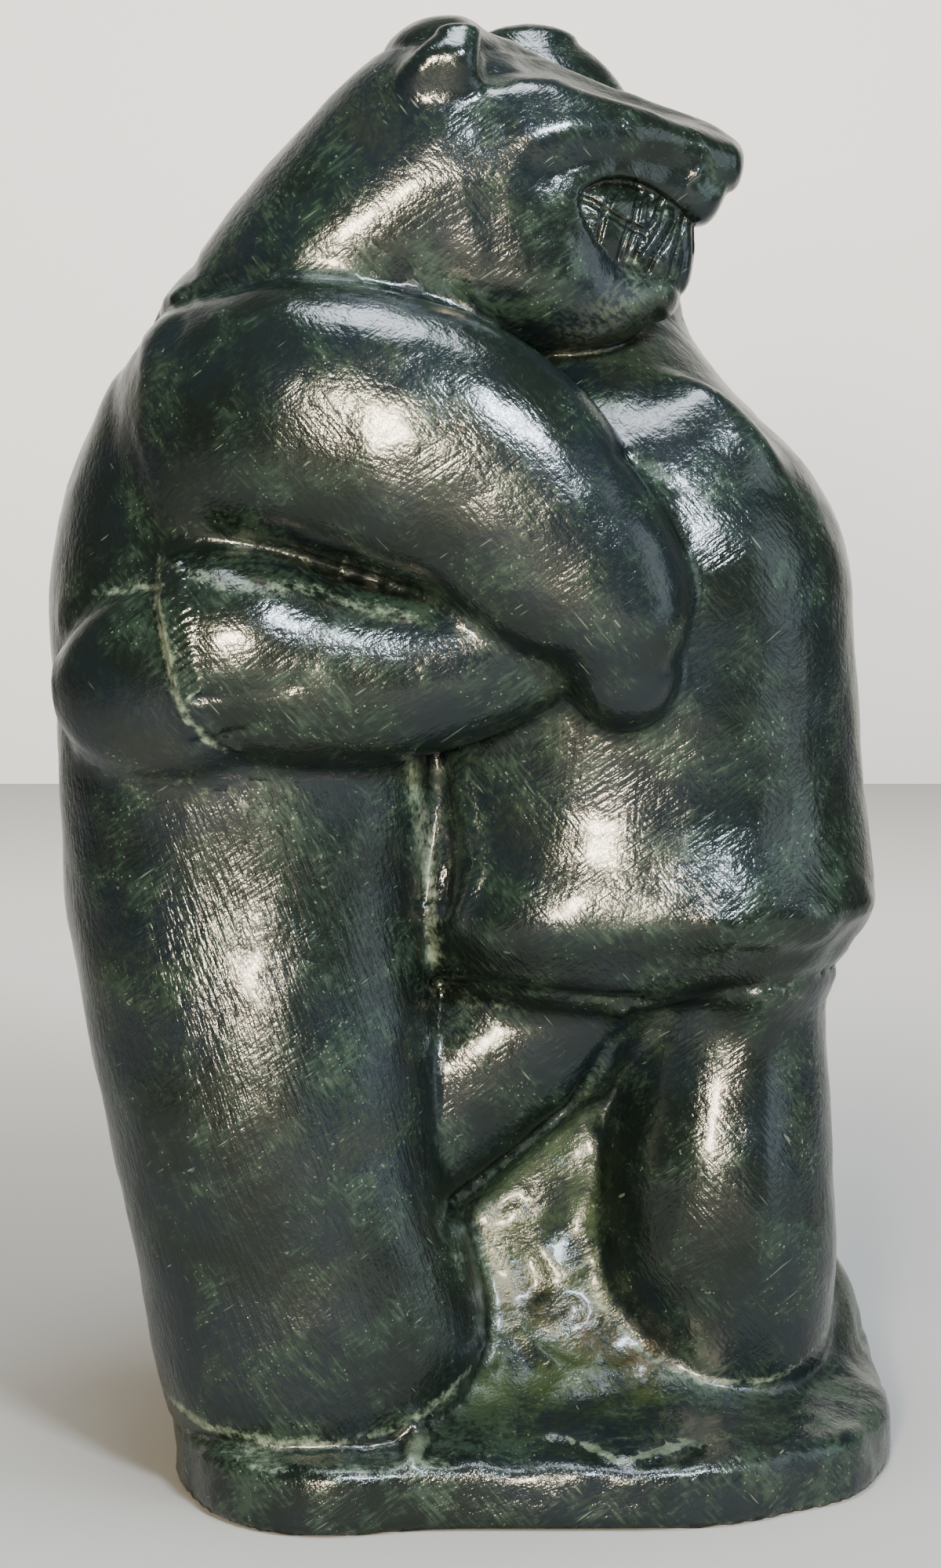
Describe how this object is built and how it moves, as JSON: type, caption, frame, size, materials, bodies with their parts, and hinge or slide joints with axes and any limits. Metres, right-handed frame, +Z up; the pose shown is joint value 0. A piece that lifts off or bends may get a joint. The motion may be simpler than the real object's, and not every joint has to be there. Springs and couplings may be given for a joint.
{
  "type": "figurine of a hunter and a bear",
  "caption": "Stone-look resin tabletop sculpture of a standing bear and a hooded hunter hugging each other on a low oval rocky base, cast in one piece.",
  "frame": {"origin": "centre of the bounding box, on the flat underside of the base", "axes": "+Z up, the bear stands towards -X and looks to +X, the hunter stands towards +X and looks to -X, -Y is the side seen in the picture"},
  "size_m": [0.1666, 0.1214, 0.2875],
  "materials": {
    "stone_look_resin": "dark green-black stone-look resin, waxed, with pale green patina in the hollows"
  },
  "bodies": {
    "root": {"hunter_and_bear": "stone_look_resin"}
  },
  "joints": []
}
